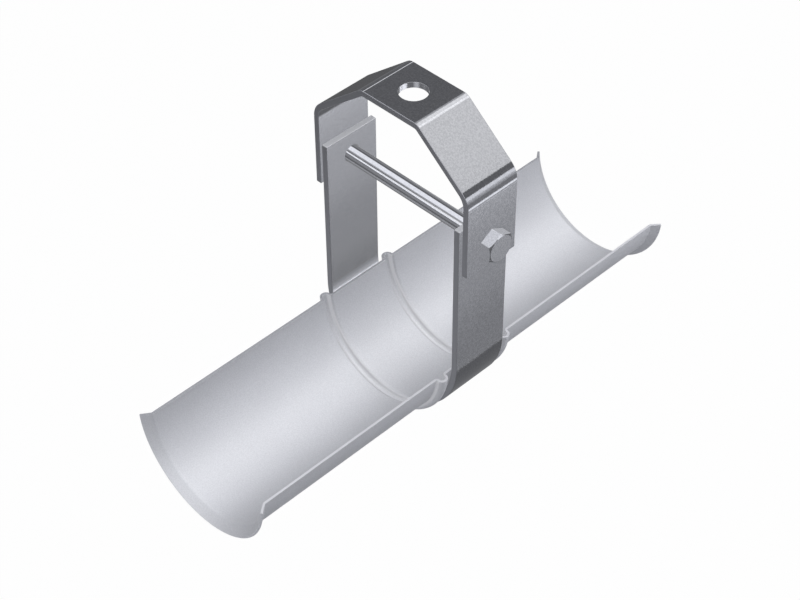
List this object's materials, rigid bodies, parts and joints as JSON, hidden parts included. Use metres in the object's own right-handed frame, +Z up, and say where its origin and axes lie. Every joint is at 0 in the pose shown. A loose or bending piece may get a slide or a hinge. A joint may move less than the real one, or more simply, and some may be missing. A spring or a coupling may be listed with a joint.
{
  "type": "insulation protection shield with clevis hanger",
  "caption": "Half-round sheet shield for insulated pipe, seated between its raised beads in the U strap of a clevis hanger that swings on a cross bolt.",
  "frame": {"origin": "on the axis of the shield's half-round saddle, midway along it", "axes": "+X along the cross bolt towards its head, +Y along the pipe, +Z up towards the rod hole"},
  "size_m": [0.1266, 0.3048, 0.1941],
  "materials": {
    "shield_sheet": "satin galvanised sheet with bright cut edges",
    "strap_bar": "zinc plated flat bar, satin, with fine rolling marks",
    "fastener": "zinc plated, semi-bright"
  },
  "bodies": {
    "yoke": {"upper_yoke": "strap_bar", "cross_bolt": "fastener", "hex_nut": "fastener"},
    "cradle": {"lower_strap": "strap_bar", "insulation_shield": "shield_sheet"}
  },
  "joints": [
    {"name": "cradle_swing", "type": "hinge", "parent": "yoke", "child": "cradle", "pos_m": [0, 0, 0.0824], "axis": [1, 0, 0], "range_deg": [-125, 125]}
  ]
}
